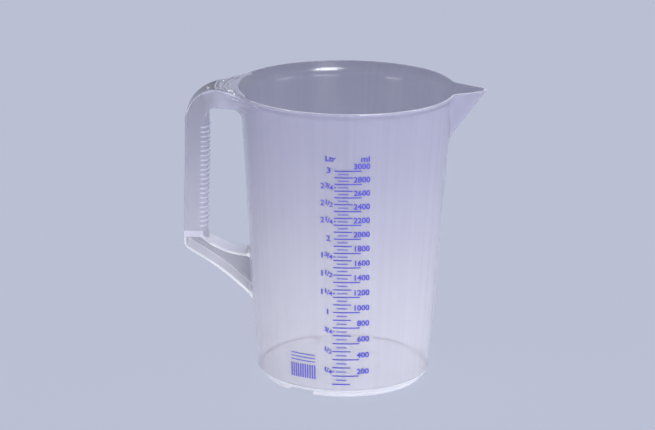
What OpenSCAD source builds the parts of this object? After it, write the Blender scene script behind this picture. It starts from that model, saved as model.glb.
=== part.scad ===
// Measuring jug: a tapered translucent vessel with a flared rim, a pouring lip,
// a closed loop handle on a triangular bracket and a printed volume scale.
// The table is z = 0, the lip points to +X and the handle to -X. The vessel is drawn round Z,
// and then moved along X so that the whole jug is centred over the origin.

/* [Vessel] */
// Height of the rim above the table
jug_h = 233; // [205:1:270]
// Outer radius of the wall at rim height
mouth_r = 83; // [78:0.5:90]
// Outer radius of the wall, carried down to the table
base_r = 68.4; // [62:0.1:74]
// Thickness of the wall
wall_t = 2; // [1.4:0.1:3]
// Thickness of the floor
floor_t = 1.8; // [1.2:0.1:3]
// Outer radius of the corner between floor and wall
corner_r = 5; // [3.5:0.5:8]

/* [Rim] */
// How far the rim flares out past the wall
flare_w = 6; // [3:0.5:9]
// Height of the flare
flare_h = 7; // [5:0.5:10]
// Height of the rim's outer edge face
rim_edge_h = 1.6; // [1:0.1:2.5]
// Width of the flat on top of the rim
rim_top_w = 2.2; // [1.4:0.1:3]

/* [Foot ring] */
// Height of the ring that the jug stands on
ring_h = 3.2; // [2:0.1:6]
// Thickness of the ring
ring_t = 2.4; // [1.5:0.1:4]
// Number of drain notches round the ring
notch_count = 3; // [2:1:6]
// Width of each notch
notch_w = 21; // [8:1:30]

/* [Pouring lip] */
// How far the tip stands out past the wall
lip_reach = 25.2; // [16:0.2:34]
// Depth below the rim of the keel's foot, half-way through the wall
lip_depth = 42.5; // [30:0.5:55]
// Width of the lip at the wall
lip_root_w = 44; // [34:1:56]
// Radius of the tip, seen from above
lip_tip_r = 8.2; // [5:0.1:11]
// Radius of the keel's foot
lip_keel_r = 4.2; // [3:0.1:6]
// Thickness of the lip
lip_t = 1.9; // [1.3:0.1:2.5]
// Height of the lip's upright edge
lip_edge_h = 1.2; // [0.8:0.1:2.5]
// How far the tip droops below the rim
lip_droop = 0.8; // [0:0.1:3]

/* [Handle] */
// Clear space for the fingers, between wall and grip at rim height
finger_gap = 25; // [20:0.5:36]
// Depth of the grip, away from the wall
grip_d = 18.5; // [15:0.5:24]
// Width of the grip
grip_w = 23; // [19:0.5:30]
// Wall of the hollow grip and arm
grip_t = 2.2; // [1.5:0.1:3]
// Radius of the grip's corners on the finger side
grip_finger_r = 7; // [4:0.5:8.5]
// Radius of the grip's corners on the outside
grip_back_r = 3; // [2.6:0.1:5]
// Height of the grip's lower end above the table
grip_foot_z = 114.5; // [100:0.5:125]
// How far the arm's top lies below the rim
arm_drop = 0.5; // [0.2:0.1:2]
// Height of the arm
arm_h = 14.5; // [12:0.5:20]
// Radius of the round shoulder between arm and grip
shoulder_r = 28; // [21:0.5:32]
// Radius of the fillet inside the shoulder
shoulder_fillet_r = 4; // [3:0.5:9]
// Width of the arm where it fans out onto the wall
fan_w = 64; // [50:1:70]
// Angle that each side of the fan opens by
fan_angle = 31; // [30:1:42]
// Radius where the fan runs out into the grip's sides
fan_fillet_r = 30; // [15:1:35]

/* [Grip ridges] */
// Spacing of the finger ridges
finger_ridge_pitch = 3.8; // [3:0.1:6]
// Height of each finger ridge, along the grip
finger_ridge_w = 1.9; // [1:0.1:2.6]
// How far the finger ridges stand out
finger_ridge_h = 0.8; // [0.4:0.1:1.5]
// Number of thumb ridges on the arm
thumb_ridge_count = 5; // [3:1:6]
// Spacing of the thumb ridges
thumb_ridge_pitch = 4; // [2.5:0.1:4.5]
// Width of each thumb ridge
thumb_ridge_w = 1.4; // [0.8:0.1:2]
// How far the thumb ridges stand up
thumb_ridge_h = 0.7; // [0.4:0.1:1.2]
// Radius of the smallest thumb ridge
thumb_ridge_first_r = 9.5; // [9:0.5:13]
// How far inside the wall the thumb ridges are centred
thumb_ridge_centre = 8; // [4:0.5:9]

/* [Handle bracket] */
// Thickness of the end wall that closes the grip's foot
heel_band_t = 4; // [2:0.5:6]
// Length of the heel's back face below the grip
heel_h = 11.3; // [9:0.1:16]
// Radius of the heel's lower corner
heel_r = 5; // [3:0.5:8]
// Thickness of the straps and of the heel's back wall
strap_t = 2.2; // [1.5:0.1:3]
// Height of the upper strap's top face where it meets the wall
gap_floor_z = 98.8; // [90:0.1:104]
// How far the upper strap's hollow top face runs in under the grip
heel_lap = 5; // [3:0.5:8]
// Height of the lower strap's underside where it meets the wall
brace_foot_z = 62; // [50:0.5:68]
// Radius of the lower strap's hollow underside
brace_r = 200; // [150:5:400]
// Thickness of the web that closes the bracket's far side
web_t = 2.5; // [1.5:0.1:4]

/* [Printed scale] */
// Volume of the highest mark, in millilitres
scale_ml = 3000; // [1000:200:3000]
// Volume between neighbouring marks, in millilitres
step_ml = 50; // [50:50:100]
// Direction of the scale's centre, in degrees from the lip
scale_azimuth = -88.5; // [-95:0.5:-80]
// Left end of the marks, measured round the wall from the scale's centre
mark_left = 9; // [6:0.5:11]
// Length of the marks at each 200 millilitres
long_mark_l = 20.8; // [16:0.1:26]
// Length of the marks at each odd 100 millilitres
middle_mark_l = 14; // [10:0.1:16]
// Length of the marks at each odd 50 millilitres
short_mark_l = 8.1; // [5:0.1:9]
// How far the shortest marks start in from the left
short_mark_inset = 2.9; // [1:0.1:5]
// Width of the printed lines
mark_w = 0.9; // [0.5:0.05:1.3]
// Thickness of the ink
ink_t = 0.12; // [0.08:0.01:0.3]
// Length of the ticks beside the quarter litres
tick_l = 1.5; // [1:0.1:2]

/* [Label place] */
// Direction of the label's centre, in degrees from the lip
label_azimuth = -115.5; // [-125:0.5:-112]
// Width of the label
label_w = 21; // [14:0.5:24]
// Height of the label's foot above the table
label_z = 15; // [12:0.5:22]
// Height of the bars
bar_h = 11.5; // [6:0.5:14]
// Number of equal bars
bar_count = 11; // [6:1:13]
// Width of each bar
bar_w = 1; // [0.5:0.1:1.4]
// Number of rules above the bars
rule_count = 3; // [1:1:4]
// Spacing of the rules
rule_pitch = 2.8; // [2:0.1:3.5]
// Width of each rule
rule_w = 0.7; // [0.4:0.1:1]

/* [Moulding mark] */
// Direction of the round moulding mark, in degrees from the lip
pip_azimuth = -106; // [-110:0.5:-102]
// Height of the moulding mark above the table
pip_z = 47.5; // [44:0.5:60]
// Radius of the moulding mark
pip_r = 2.3; // [1.5:0.1:3.5]
// How far the moulding mark stands out
pip_h = 0.3; // [0.2:0.1:0.6]

/* [Hidden] */
$fn = 96;
over = 1;                                  // overrun of every cut
hull_fn = 32;

// Vessel
wall_slope = (mouth_r - base_r) / jug_h;   // draft of the wall
function wall_r(z) = base_r + wall_slope * z;
floor_z = ring_h + floor_t;                // where the liquid starts
wall_foot_z = ring_h + corner_r;           // the wall stands on the corner here
flare_z = jug_h - flare_h;
rim_r = mouth_r + flare_w;
foot_r = wall_r(wall_foot_z) - corner_r;   // outside of the foot ring

// Pouring lip
lip_root_x = sqrt(pow(mouth_r - wall_t, 2) - pow(lip_root_w / 2, 2));
lip_keel_z = jug_h - lip_depth;

// Handle
grip_in_x = -(mouth_r + finger_gap);       // finger face of the grip
grip_out_x = grip_in_x - grip_d;           // back face of the grip
axis_x = -(grip_out_x + mouth_r + lip_reach) / 2;   // the vessel's axis, once the jug is centred
arm_z = jug_h - arm_drop;                  // top of the arm
arm_under_z = arm_z - arm_h;
grip_top_z = arm_z - shoulder_r;           // the shoulder stands on the grip here
fan_x = -sqrt(pow(mouth_r, 2) - pow(fan_w / 2, 2));
side_t = grip_t / cos(fan_angle);

// Bracket
heel_z = grip_foot_z - heel_h;
gap_floor_x = -wall_r(gap_floor_z);
brace_x = -wall_r(brace_foot_z);
heel_split_x = grip_in_x - heel_lap;       // the heel ends and the straps start here
gap_floor_rise = grip_foot_z - gap_floor_z;
gap_floor_r = (pow(gap_floor_x - heel_split_x, 2) + pow(gap_floor_rise, 2)) / (2 * gap_floor_rise);
gap_floor_c = [gap_floor_x, gap_floor_z + gap_floor_r];
heel_corner = [grip_out_x, heel_z];
brace_end = [brace_x, brace_foot_z];
brace_c = arc_centre(heel_corner, brace_end, brace_r);

// Printed scale
inner_r0 = base_r - wall_t;
ml = 1000;                                 // cubic millimetres in a millilitre
long_ml = 4 * step_ml;
middle_ml = 2 * step_ml;
quarter_ml = 5 * step_ml;

// Height of the surface when the vessel holds v millilitres: a cone's frustum, solved for height
function fill_z(v) =
    (pow(pow(inner_r0 + wall_slope * floor_z, 3) + 3 * wall_slope * v * ml / PI, 1 / 3) - inner_r0)
    / wall_slope;
function has_room(v) = fill_z(v) + mark_w < flare_z;

// Centre of an arc from a to b that bends away from the side the centre lies on
function arc_centre(a, b, r) =
    let (m = (a + b) / 2, d = b - a, l = norm(d), h = sqrt(r * r - l * l / 4))
    m + [d[1], -d[0]] / l * h;

plastic = [0.83, 0.83, 0.90, 0.55];
ink = [0.29, 0.27, 0.80];

module on_axis() {
    translate([axis_x, 0, 0]) children();
}

// Everything inside the wall's outer face, grown by a skin that follows the flare
module vessel_outside(skin) {
    rotate_extrude()
        polygon([[0, 0], [base_r + skin, 0], [wall_r(flare_z) + skin, flare_z],
                 [rim_r + skin, jug_h - rim_edge_h], [rim_r + skin, jug_h + over], [0, jug_h + over]]);
}

// What the handle is cut by: the wall's outer face, and above the flare its inner face
module handle_cutter() {
    rotate_extrude()
        polygon([[0, 0], [base_r, 0], [wall_r(flare_z), flare_z], [wall_r(flare_z) - wall_t, flare_z],
                 [wall_r(jug_h + over) - wall_t, jug_h + over], [0, jug_h + over]]);
}

// Space inside the vessel, open at the top, with its seam on the handle's side
module vessel_inside() {
    rotate([0, 0, 180]) rotate_extrude()
        polygon([[0, floor_z], [inner_r0 + wall_slope * floor_z, floor_z],
                 [wall_r(jug_h + over) - wall_t, jug_h + over], [0, jug_h + over]]);
}

// Boat-shaped solid of the lip; inset gives its inside, which runs out at the top
module lip_body(inset = 0, top_over = 0) {
    hull() {
        translate([mouth_r + lip_reach - lip_tip_r, 0, jug_h - lip_droop - lip_edge_h])
            cylinder(r = lip_tip_r - inset, h = lip_edge_h + top_over, $fn = hull_fn);
        translate([lip_root_x - inset, inset - lip_root_w / 2, jug_h - lip_edge_h])
            cube([lip_t, lip_root_w - 2 * inset, lip_edge_h + top_over]);
        translate([wall_r(lip_keel_z) - wall_t / 2 - lip_keel_r, 0, lip_keel_z + inset])
            cylinder(r = lip_keel_r - inset, h = lip_edge_h, $fn = hull_fn);
    }
}

module vessel_wall() {
    color(plastic) on_axis() difference() {
        rotate([0, 0, 180]) rotate_extrude()
            polygon([[wall_r(wall_foot_z), wall_foot_z], [wall_r(flare_z), flare_z],
                     [wall_r(flare_z) - wall_t, flare_z], [wall_r(wall_foot_z) - wall_t, wall_foot_z]]);
        lip_body();
    }
}

module rim() {
    color(plastic) on_axis() difference() {
        rotate([0, 0, 90]) rotate_extrude()
            polygon([[wall_r(flare_z), flare_z], [rim_r, jug_h - rim_edge_h], [rim_r, jug_h],
                     [rim_r - rim_top_w, jug_h], [wall_r(flare_z) - wall_t, flare_z]]);
        lip_body(0, over);
        translate([0, 0, flare_z - over]) linear_extrude(height = flare_h + 2 * over) arm_plan();
    }
}

module pouring_lip() {
    color(plastic) on_axis() difference() {
        lip_body();
        lip_body(lip_t, over);
        vessel_inside();
    }
}

module vessel_floor() {
    color(plastic) on_axis() rotate_extrude() {
        translate([0, ring_h]) square([foot_r, floor_t]);
        translate([foot_r, wall_foot_z]) intersection() {
            difference() {
                circle(corner_r);
                circle(corner_r - wall_t);
            }
            translate([0, -corner_r]) square(corner_r);
        }
    }
}

module foot_ring() {
    color(plastic) on_axis() difference() {
        cylinder(r = foot_r, h = ring_h);
        translate([0, 0, -over]) cylinder(r = foot_r - ring_t, h = ring_h + 2 * over);
        for (i = [0 : notch_count - 1])
            rotate([0, 0, 360 * i / notch_count])
                translate([foot_r - ring_t - over, -notch_w / 2, -over])
                    cube([ring_t + 2 * over, notch_w, ring_h + 2 * over]);
    }
}

// Upright plate with its outline drawn in X and Z, centred on the handle's plane
module side_plate(w) {
    translate([0, w / 2, 0]) rotate([90, 0, 0]) linear_extrude(height = w) children();
}

// What lies between a sharp corner at c, its sides running along u and v, and an arc of radius r.
// It is cut from a convex corner or added to a hollow one, and overlaps whatever lies outside.
module corner_piece(c, u, v, r) {
    half = acos(u * v) / 2;
    mid = (u + v) / norm(u + v);
    centre = c + mid * r / sin(half);
    a = c + u * r / tan(half);
    b = c + v * r / tan(half);
    difference() {
        polygon([c - mid * over / sin(half), a - (centre - a) / r * over, a, centre, b,
                 b - (centre - b) / r * over]);
        translate(centre) circle(r);
    }
}

// Side view of arm and shoulder; the finger side carries a fillet
module arm_side(inset = 0) {
    out_x = grip_out_x + inset;
    in_x = grip_in_x - inset;
    top_z = arm_z - inset;
    under_z = arm_under_z + inset;
    difference() {
        translate([out_x, grip_top_z]) square([-out_x, top_z - grip_top_z]);
        corner_piece([out_x, top_z], [1, 0], [0, -1], shoulder_r - inset);
        difference() {
            translate([in_x, grip_top_z - over]) square([over - in_x, under_z - grip_top_z + over]);
            corner_piece([in_x, under_z], [1, 0], [0, -1], shoulder_fillet_r + inset);
        }
    }
}

// Plan of the arm: grip width at the back, opening into a fan at the wall
module arm_plan(inset = 0) {
    half_w = grip_w / 2 - inset;
    fan_half = fan_w / 2 - (inset > 0 ? side_t : 0);
    back_x = grip_out_x - over;
    knee_x = fan_x - (fan_half - half_w) / tan(fan_angle);
    difference() {
        translate([grip_out_x, -fan_half]) square([-grip_out_x, 2 * fan_half]);
        for (side = [0, 1]) mirror([0, side]) difference() {
            polygon([[back_x, half_w], [knee_x, half_w], [fan_x, fan_half], [fan_x, fan_half + over],
                     [back_x, fan_half + over]]);
            corner_piece([knee_x, half_w], [-1, 0], [cos(fan_angle), sin(fan_angle)], fan_fillet_r);
        }
    }
}

module arm_solid(inset = 0) {
    intersection() {
        side_plate(2 * fan_w) arm_side(inset);
        translate([0, 0, grip_top_z - over])
            linear_extrude(height = shoulder_r + 2 * over) arm_plan(inset);
    }
}

module handle_arm() {
    color(plastic) on_axis() difference() {
        arm_solid();
        handle_cutter();
        difference() {
            arm_solid(grip_t);
            vessel_outside(grip_t);
        }
    }
}

// Section of the grip: round on the finger side, flatter at the back
module grip_section(inset = 0, proud = 0) {
    half_w = grip_w / 2 - inset + proud;
    difference() {
        translate([grip_out_x + inset, -half_w]) square([grip_d - 2 * inset + proud, 2 * half_w]);
        for (side = [0, 1]) mirror([0, side]) {
            corner_piece([grip_out_x + inset, half_w], [1, 0], [0, -1], grip_back_r - inset);
            corner_piece([grip_in_x - inset + proud, half_w], [-1, 0], [0, -1],
                         grip_finger_r - inset + proud);
        }
    }
}

module handle_grip() {
    color(plastic) on_axis() translate([0, 0, grip_foot_z]) difference() {
        linear_extrude(height = grip_top_z - grip_foot_z) grip_section();
        translate([0, 0, grip_t])
            linear_extrude(height = grip_top_z - grip_foot_z) grip_section(grip_t);
    }
}

module finger_ridges() {
    run = grip_top_z - grip_foot_z - finger_ridge_pitch;
    color(plastic) on_axis()
        for (z = [finger_ridge_pitch / 2 : finger_ridge_pitch : run])
            translate([0, 0, grip_foot_z + z]) linear_extrude(height = finger_ridge_w) difference() {
                intersection() {
                    grip_section(0, finger_ridge_h);
                    translate([grip_in_x - grip_finger_r, -grip_w]) square([2 * grip_finger_r, 2 * grip_w]);
                }
                grip_section();
            }
}

module thumb_ridges() {
    color(plastic) on_axis() translate([0, 0, arm_z]) linear_extrude(height = thumb_ridge_h) intersection() {
        for (i = [0 : thumb_ridge_count - 1])
            translate([thumb_ridge_centre - mouth_r, 0]) difference() {
                circle(thumb_ridge_first_r + i * thumb_ridge_pitch + thumb_ridge_w / 2);
                circle(thumb_ridge_first_r + i * thumb_ridge_pitch - thumb_ridge_w / 2);
            }
        difference() {
            arm_plan(grip_t);
            circle(mouth_r);
        }
    }
}

// Side view of the bracket below the grip, up to the vessel's axis
module bracket_side() {
    strap_dir = (brace_end - heel_corner) / norm(brace_end - heel_corner);
    difference() {
        polygon([[grip_out_x, grip_foot_z], heel_corner, brace_end, [0, brace_foot_z],
                 [0, grip_foot_z]]);
        intersection() {
            translate(gap_floor_c) circle(gap_floor_r);
            translate([grip_in_x, brace_foot_z]) square([-grip_in_x, gap_floor_r * 2]);
        }
        translate(brace_c) circle(brace_r);
        corner_piece(heel_corner, [0, 1], strap_dir, heel_r);
    }
}

// Side view of the recess that the straps and the heel surround
module recess_side() {
    difference() {
        translate([grip_out_x + strap_t, brace_foot_z])
            square([-grip_out_x - strap_t, grip_foot_z - heel_band_t - brace_foot_z]);
        translate(gap_floor_c) circle(gap_floor_r + strap_t);
        translate(brace_c) circle(brace_r + strap_t);
    }
}

module heel_side() {
    translate([grip_out_x - over, brace_foot_z])
        square([heel_split_x - grip_out_x + over, grip_foot_z - brace_foot_z + over]);
}

// Everything above a line through the recess, which parts the two straps
module above_recess() {
    heel_mid_z = (grip_foot_z + heel_z) / 2 - heel_band_t;
    foot_mid_z = (gap_floor_z + brace_foot_z) / 2;
    polygon([[grip_out_x, heel_mid_z], [heel_split_x, heel_mid_z], [gap_floor_x, foot_mid_z],
             [0, foot_mid_z], [0, jug_h], [grip_out_x, jug_h]]);
}

module bracket_frame() {
    difference() {
        bracket_side();
        recess_side();
    }
}

module straps_side() {
    difference() {
        bracket_frame();
        heel_side();
    }
}

module bracket_heel() {
    color(plastic) on_axis() side_plate(grip_w) intersection() {
        bracket_frame();
        heel_side();
    }
}

module bracket_upper_strap() {
    color(plastic) on_axis() difference() {
        side_plate(grip_w) intersection() {
            straps_side();
            above_recess();
        }
        handle_cutter();
    }
}

module bracket_lower_strap() {
    color(plastic) on_axis() difference() {
        side_plate(grip_w) difference() {
            straps_side();
            above_recess();
        }
        handle_cutter();
    }
}

module bracket_web() {
    color(plastic) on_axis() difference() {
        translate([0, (grip_w - web_t) / 2, 0]) side_plate(web_t) intersection() {
            bracket_side();
            recess_side();
        }
        handle_cutter();
    }
}

// Printed patch on the wall: left end at arc length s from azimuth a, height z at its middle
module ink_patch(a, s, l, z, w, t = ink_t) {
    lo = z - w / 2;
    hi = z + w / 2;
    turn = 180 / (PI * wall_r(z));         // degrees round the wall for each millimetre
    rotate([0, 0, a + s * turn]) rotate_extrude(angle = l * turn)
        polygon([[wall_r(lo), lo], [wall_r(lo) + t, lo], [wall_r(hi) + t, hi], [wall_r(hi), hi]]);
}

module marks(first, step, s, l) {
    color(ink) on_axis()
        for (v = [first : step : scale_ml])
            if (has_room(v)) ink_patch(scale_azimuth, s, l, fill_z(v), mark_w);
}

module marks_200_ml() { marks(long_ml, long_ml, -mark_left, long_mark_l); }
module marks_100_ml() { marks(middle_ml, long_ml, -mark_left, middle_mark_l); }
module marks_50_ml() { marks(middle_ml + step_ml, middle_ml, short_mark_inset - mark_left, short_mark_l); }
module quarter_ticks() { marks(quarter_ml, 2 * quarter_ml, -mark_left, tick_l); }

module label_bars() {
    pitch = (label_w - bar_w) / (bar_count - 1);
    color(ink) on_axis()
        for (i = [0 : bar_count - 1])
            ink_patch(label_azimuth, i * pitch - label_w / 2, bar_w, label_z + bar_h / 2, bar_h);
}

module label_rules() {
    color(ink) on_axis()
        for (i = [1 : rule_count])
            ink_patch(label_azimuth, -label_w / 2, label_w, label_z + bar_h + i * rule_pitch, rule_w);
}

module moulding_mark() {
    color(plastic) on_axis() difference() {
        intersection() {
            rotate([0, 0, pip_azimuth]) translate([0, 0, pip_z]) rotate([0, 90, 0])
                cylinder(r = pip_r, h = wall_r(jug_h));
            cylinder(r1 = base_r + pip_h, r2 = mouth_r + pip_h, h = jug_h);
        }
        cylinder(r1 = base_r, r2 = mouth_r, h = jug_h);
    }
}

vessel_wall();
rim();
pouring_lip();
vessel_floor();
foot_ring();
handle_arm();
thumb_ridges();
handle_grip();
finger_ridges();
bracket_heel();
bracket_upper_strap();
bracket_lower_strap();
bracket_web();
marks_200_ml();
marks_100_ml();
marks_50_ml();
quarter_ticks();
label_bars();
label_rules();
moulding_mark();
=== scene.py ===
import bpy
import bmesh
import math
import numpy as np
from mathutils import Matrix, Vector


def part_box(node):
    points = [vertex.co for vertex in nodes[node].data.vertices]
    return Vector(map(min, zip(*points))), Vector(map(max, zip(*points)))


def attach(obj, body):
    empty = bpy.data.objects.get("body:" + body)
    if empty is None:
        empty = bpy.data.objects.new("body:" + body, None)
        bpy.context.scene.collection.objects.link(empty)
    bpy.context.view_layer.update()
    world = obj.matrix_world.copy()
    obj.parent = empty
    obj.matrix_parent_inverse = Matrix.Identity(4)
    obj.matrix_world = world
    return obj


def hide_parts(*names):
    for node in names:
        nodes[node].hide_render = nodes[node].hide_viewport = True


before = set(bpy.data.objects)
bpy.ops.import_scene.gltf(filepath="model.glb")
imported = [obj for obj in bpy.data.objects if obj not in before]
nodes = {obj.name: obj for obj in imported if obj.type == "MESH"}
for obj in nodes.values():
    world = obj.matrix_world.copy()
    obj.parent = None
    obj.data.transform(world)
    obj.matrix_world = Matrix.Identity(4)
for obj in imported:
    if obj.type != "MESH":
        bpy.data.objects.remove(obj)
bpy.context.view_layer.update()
print("frame loaded:", len(nodes), "nodes")

mm = 0.001
floorLow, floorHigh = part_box("vessel_floor")
axisX = (floorLow.x + floorHigh.x) / 2 / mm            # the vessel's axis, in mm from the frame's origin

# All shapes below are worked out in mm round the vessel's axis, and moved into the frame here.


def meshFromArrays(name, points, faces, sharpAngle=40):
    points = np.asarray(points, float)
    placed = (points + np.array([axisX, 0, 0])) * mm
    mesh = bpy.data.meshes.new(name)
    mesh.from_pydata(placed.tolist(), [], [tuple(int(i) for i in f) for f in faces])
    mesh.update()
    finishNormals(mesh, sharpAngle)
    obj = bpy.data.objects.new(name, mesh)
    bpy.context.scene.collection.objects.link(obj)
    return obj


def stacked(parts):                                    # several sets of points and faces as one
    points, faces, start = [], [], 0
    for partPoints, partFaces in parts:
        points.append(partPoints)
        faces += [tuple(i + start for i in f) for f in partFaces]
        start += len(partPoints)
    return np.concatenate(points), faces


def finishNormals(mesh, sharpAngle):
    mesh.polygons.foreach_set("use_smooth", [True] * len(mesh.polygons))
    mesh.set_sharp_from_angle(angle=math.radians(sharpAngle))


def applyModifiers(obj, sharpAngle=40):
    graph = bpy.context.evaluated_depsgraph_get()
    mesh = bpy.data.meshes.new_from_object(obj.evaluated_get(graph))
    obj.modifiers.clear()
    obj.data = mesh
    finishNormals(mesh, sharpAngle)


def smoothStep(low, high, x):
    t = np.clip((x - low) / (high - low), 0, 1)
    return t * t * (3 - 2 * t)


def softMax(a, b, width):
    h = np.clip(width - np.abs(a - b), 0, None) / width
    return np.maximum(a, b) + h * h * width / 4


def softMin(a, b, width):
    return -softMax(-a, -b, width)


def roundMax(a, b, r):                                 # outer corner of radius r between two distances
    return np.minimum(np.maximum(a, b), -r) + np.hypot(np.maximum(a + r, 0), np.maximum(b + r, 0))


def roundMin(a, b, r):                                 # fillet of radius r between two distances
    return -roundMax(-a, -b, r)


# Vessel: one closed skin, from the middle of the underside round the rim to the middle of the floor
vessel = {
    "height": 233, "mouthR": 83, "baseR": 68.4, "wall": 2, "floorZ": 5, "cornerR": 5,
    "ringH": 3.2, "ringT": 2.4, "ringRound": 0.35, "ringBevel": 0.1, "underLap": 0.3,
    "notchW": 21, "notches": 3, "notchStepDeg": 0.12, "notchClearDeg": 0.2,
    "flareZ": 226, "rimR": 88.995, "rimTopW": 2.2, "rimEdgeH": 1.6, "rimEdgeBlend": 0.6, "edgeRound": 0.45,
    "flareFillet": 2.4, "underRs": (12, 30, 48), "floorRs": (56, 40, 24, 10), "cornerFromDeg": -82,
    "wallStep": 12, "lipStep": 1.5, "rimStep": 0.45, "innerRimStep": 0.6,
    "columns": ((0, 24.01, 0.5), (24, 150, 2), (150, 180.01, 1)),      # finer at the lip, angles in degrees
}
lip = {
    "tipX": 100, "tipR": 8.2, "rootX": 77.96, "rootHalfW": 24.5, "keelR": 4.2, "footZ": 190.5,
    "topZ": 231, "thickness": 1.9, "blend": 3, "innerBlend": 3, "bead": 0.8, "beadZ": 231.2, "beadH": 0.7,
    "beadStart": 0.3, "reachDeg": 40, "leastCos": 0.15, "droop": 0.8, "droopZ": (200, 232), "droopDeg": (17, 3),
    "flareFromDeg": 16, "flareToDeg": 46, "flareLeft": 0.58,
}
fan = {"fadeFromDeg": 23, "fadeToDeg": 30, "left": 0.5, "drop": 0.1}      # the rim's flare runs out into the handle

slope = (vessel["mouthR"] - vessel["baseR"]) / vessel["height"]


def wallR(z):
    return vessel["baseR"] + slope * z


footZ = vessel["ringH"] + vessel["cornerR"]            # the centre of the foot's rounded corner
footR = wallR(footZ) - vessel["cornerR"]
notchHalfDeg = math.degrees(vessel["notchW"] / 2 / footR)
notchTurn = 360 / vessel["notches"]


def lipRadius(angle, z, inset):
    rise = np.clip((z - lip["footZ"] - inset) / (lip["topZ"] - lip["footZ"]), 0, 1)
    keelX = wallR(lip["footZ"]) - vessel["wall"] / 2 - lip["keelR"]
    frontX = keelX + (lip["tipX"] - keelX) * rise
    frontR = lip["keelR"] + (lip["tipR"] - lip["keelR"]) * rise - inset
    if inset == 0:                                     # a small bead stands out along the lip's edge
        below = smoothStep(lip["beadZ"], lip["beadZ"] - lip["beadH"], z)
        frontX = frontX - lip["bead"] * below * smoothStep(0, lip["beadStart"], rise)
    sideX = keelX + (lip["rootX"] - keelX) * rise
    sideY = lip["rootHalfW"] * rise
    sideR = lip["keelR"] * (1 - rise) - inset
    dx, dy = frontX - sideX, -sideY
    length = np.maximum(np.hypot(dx, dy), 1e-6)
    normal = np.arctan2(dy, dx) + np.arccos(np.clip((sideR - frontR) / length, -1, 1))
    reach = frontX * np.cos(normal) + frontR
    side = reach / np.maximum(np.cos(angle - normal), lip["leastCos"])
    tangent = np.arctan2(frontR * np.sin(normal), frontX + frontR * np.cos(normal))
    miss = frontX * np.sin(angle)
    nose = frontX * np.cos(angle) + np.sqrt(np.maximum(frontR ** 2 - miss ** 2, 0))
    radius = np.where(angle > tangent, side, nose)
    started = (z >= lip["footZ"] + inset) & (angle < math.radians(lip["reachDeg"]))
    return np.where(started, radius, 0)


def flareAmount(fromHandle):
    byHandle = fan["left"] + (1 - fan["left"]) * smoothStep(fan["fadeFromDeg"], fan["fadeToDeg"], fromHandle)
    offLip = 180 - fromHandle
    byLip = lip["flareLeft"] + (1 - lip["flareLeft"]) * smoothStep(lip["flareFromDeg"], lip["flareToDeg"], offLip)
    return byHandle * byLip


def flaredRadius(z):
    rise = (z - vessel["flareZ"]) * (vessel["rimR"] - wallR(vessel["flareZ"])) / (
        vessel["height"] - vessel["rimEdgeH"] - vessel["flareZ"])
    return softMin(wallR(z) + softMax(rise, 0, vessel["flareFillet"]), vessel["rimR"], vessel["rimEdgeBlend"])


def bodyRadius(z, amount):
    plain = np.minimum(wallR(z), vessel["mouthR"])
    return plain + (flaredRadius(z) - plain) * amount


def outerRadius(angle, z, amount):
    return softMax(bodyRadius(z, amount), lipRadius(angle, z, 0), lip["blend"])


def innerRadius(angle, z, amount):
    wall = wallR(z) - vessel["wall"]
    spread = vessel["rimR"] - vessel["rimTopW"] - wallR(vessel["flareZ"]) + vessel["wall"]
    rise = (z - vessel["flareZ"]) * spread / (vessel["height"] - vessel["flareZ"])
    flared = wall + softMax(rise, 0, vessel["flareFillet"])
    body = wall + (flared - wall) * amount
    return softMax(body, lipRadius(angle, z, lip["thickness"]), lip["innerBlend"])


def vesselColumns():
    columns = set()
    for low, high, step in vessel["columns"]:
        for deg in np.arange(low, high, step):
            columns.update([round(deg, 3), round(-deg, 3)])
    for i in range(vessel["notches"]):
        for side in (-1, 1):
            for step in (-1, 1):
                deg = notchTurn * i + side * notchHalfDeg + step * vessel["notchStepDeg"]
                deg = (deg + 180) % 360 - 180
                columns = {c for c in columns if abs(c - deg) > vessel["notchClearDeg"]} | {round(deg, 3)}
    columns.discard(-180.0)
    return np.radians(np.array(sorted(columns)))


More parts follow.
